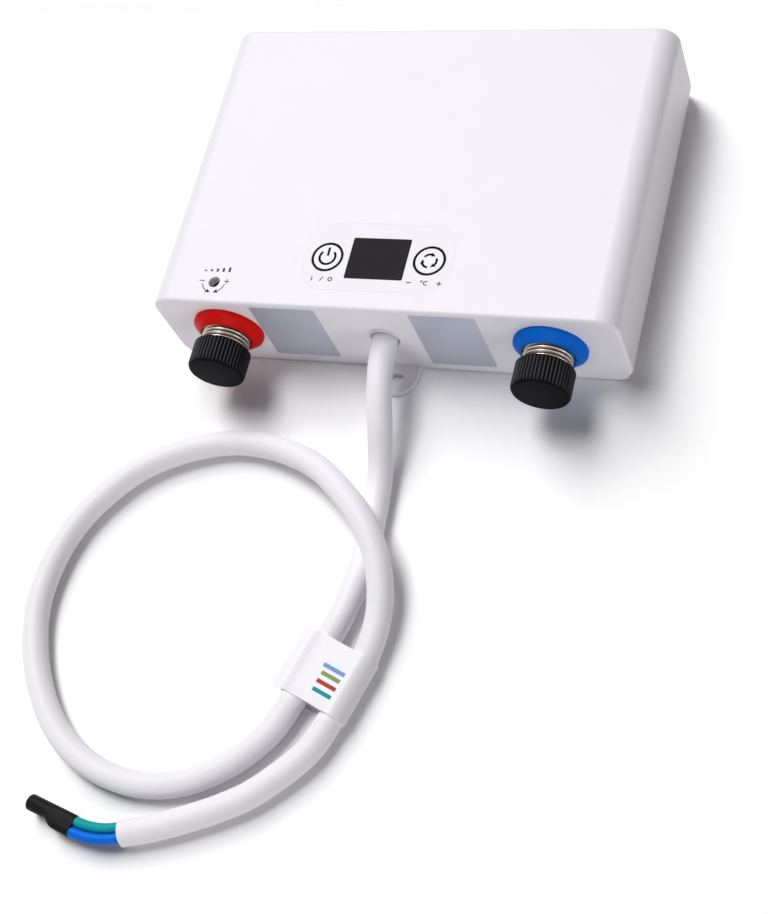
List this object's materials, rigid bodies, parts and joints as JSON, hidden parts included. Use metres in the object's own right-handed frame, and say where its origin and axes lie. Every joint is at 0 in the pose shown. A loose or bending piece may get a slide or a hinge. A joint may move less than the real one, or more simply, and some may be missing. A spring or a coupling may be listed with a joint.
{
  "type": "tankless water heater",
  "caption": "Flat wall-hung instantaneous water heater with a display, touch keys, capped threaded water ports, hanging ears and a loose supply cord.",
  "frame": {"origin": "centre of the housing's back face, in the plane of the wall", "axes": "+X across the ports towards the cold port, +Y up the wall, +Z out of the front face"},
  "size_m": [0.2413, 0.3848, 0.0457],
  "materials": {
    "white_shell": "moulded white, light sheen",
    "white_plate": "moulded white",
    "panel_film": "printed film",
    "black_lens": "dark display lens",
    "key_white": "white key face with a dark printed ring",
    "port_metal": "bright turned metal",
    "screw_steel": "plated screws",
    "hot_red": "red port ring",
    "cold_blue": "blue port ring",
    "cap_black": "black moulded caps",
    "seal_rubber": "seals and washers",
    "cord_white": "white cord jacket and gland",
    "tag_film": "white film tag with coloured bars",
    "core_teal": "teal core insulation",
    "core_blue": "blue core insulation",
    "core_brown": "brown core insulation",
    "sleeve_black": "heat-shrunk sleeve",
    "tank_metal": "cast tank",
    "element_steel": "sheathed heating tubes",
    "brass_parts": "brass nut and probe",
    "board_green": "printed circuit boards",
    "dark_parts": "dark moulded electric parts",
    "relay_blue": "relay case",
    "inner_white": "white moulded inner parts",
    "turbine_blue": "turbine"
  },
  "bodies": {
    "housing": {"front_cover": "white_shell", "back_plate": "white_plate", "cover_screws": "screw_steel", "control_overlay": "panel_film", "display_window": "black_lens", "key_switches": "dark_parts", "display_board": "board_green", "digit_display": "dark_parts", "display_board_screws": "screw_steel", "hot_fitting": "port_metal", "cold_fitting": "port_metal", "hot_port_gasket": "seal_rubber", "cold_port_gasket": "seal_rubber", "hot_ring": "hot_red", "cold_ring": "cold_blue", "valve_seal": "seal_rubber", "valve_nut": "brass_parts", "inlet_filter": "inner_white", "turbine_cage": "inner_white", "turbine_retainer": "inner_white", "flow_sensor": "dark_parts", "pipe_seals": "seal_rubber", "tank_tray": "tank_metal", "tank_seal": "seal_rubber", "tank_lid": "tank_metal", "tank_screws": "screw_steel", "heating_elements": "element_steel", "element_seals": "seal_rubber", "thermal_cutout": "dark_parts", "temperature_sensor": "brass_parts", "power_board": "board_green", "power_board_screws": "screw_steel", "relay": "relay_blue", "triac": "dark_parts", "heat_sink": "tank_metal", "terminal_block": "inner_white", "cord_gland": "cord_white", "cord_tail": "cord_white", "inner_cores": "core_brown", "cord_clamp": "inner_white", "clamp_screws": "screw_steel", "supply_cord": "cord_white", "cord_tag": "tag_film", "core_green": "core_teal", "core_blue": "core_blue", "core_brown": "core_brown", "end_sleeve": "sleeve_black"},
    "power_key": {"power_button": "key_white", "power_plunger": "dark_parts"},
    "temperature_key": {"temperature_button": "key_white", "temperature_plunger": "dark_parts"},
    "throttle": {"flow_adjust_screw": "dark_parts"},
    "turbine": {"flow_turbine": "turbine_blue"},
    "hot_washer": {"hot_cap_washer": "seal_rubber"},
    "hot_cap": {"hot_cap": "cap_black"},
    "cold_washer": {"cold_cap_washer": "seal_rubber"},
    "cold_cap": {"cold_cap": "cap_black"}
  },
  "joints": [
    {"name": "power_press", "type": "slide", "parent": "housing", "child": "power_key", "axis": [0, 0, -1], "range_m": [0, 0.0004], "stiffness_N_per_m": 1500},
    {"name": "temperature_press", "type": "slide", "parent": "housing", "child": "temperature_key", "axis": [0, 0, -1], "range_m": [0, 0.0004], "stiffness_N_per_m": 1500},
    {"name": "throttle_turn", "type": "hinge", "parent": "housing", "child": "throttle", "pos_m": [-0.0742, -0.0625, 0.0248], "axis": [0, 0, 1], "range_deg": [-90, 90]},
    {"name": "turbine_spin", "type": "hinge", "parent": "housing", "child": "turbine", "pos_m": [0.0723, -0.0437, 0.0248], "axis": [0, 1, 0], "continuous": true},
    {"name": "hot_cap_lift", "type": "slide", "parent": "housing", "child": "hot_washer", "axis": [0, -1, 0], "range_m": [0, 0.0092]},
    {"name": "hot_cap_turn", "type": "hinge", "parent": "hot_washer", "child": "hot_cap", "pos_m": [-0.0723, -0.0877, 0.0248], "axis": [0, -1, 0], "range_deg": [0, 1800]},
    {"name": "cold_cap_lift", "type": "slide", "parent": "housing", "child": "cold_washer", "axis": [0, -1, 0], "range_m": [0, 0.0092]},
    {"name": "cold_cap_turn", "type": "hinge", "parent": "cold_washer", "child": "cold_cap", "pos_m": [0.0723, -0.0877, 0.0248], "axis": [0, -1, 0], "range_deg": [0, 1800]}
  ],
  "couplings": [
    {"joint": "hot_cap_lift", "follows": "hot_cap_turn", "m_per_rad": 0.00028875},
    {"joint": "cold_cap_lift", "follows": "cold_cap_turn", "m_per_rad": 0.00028875}
  ]
}
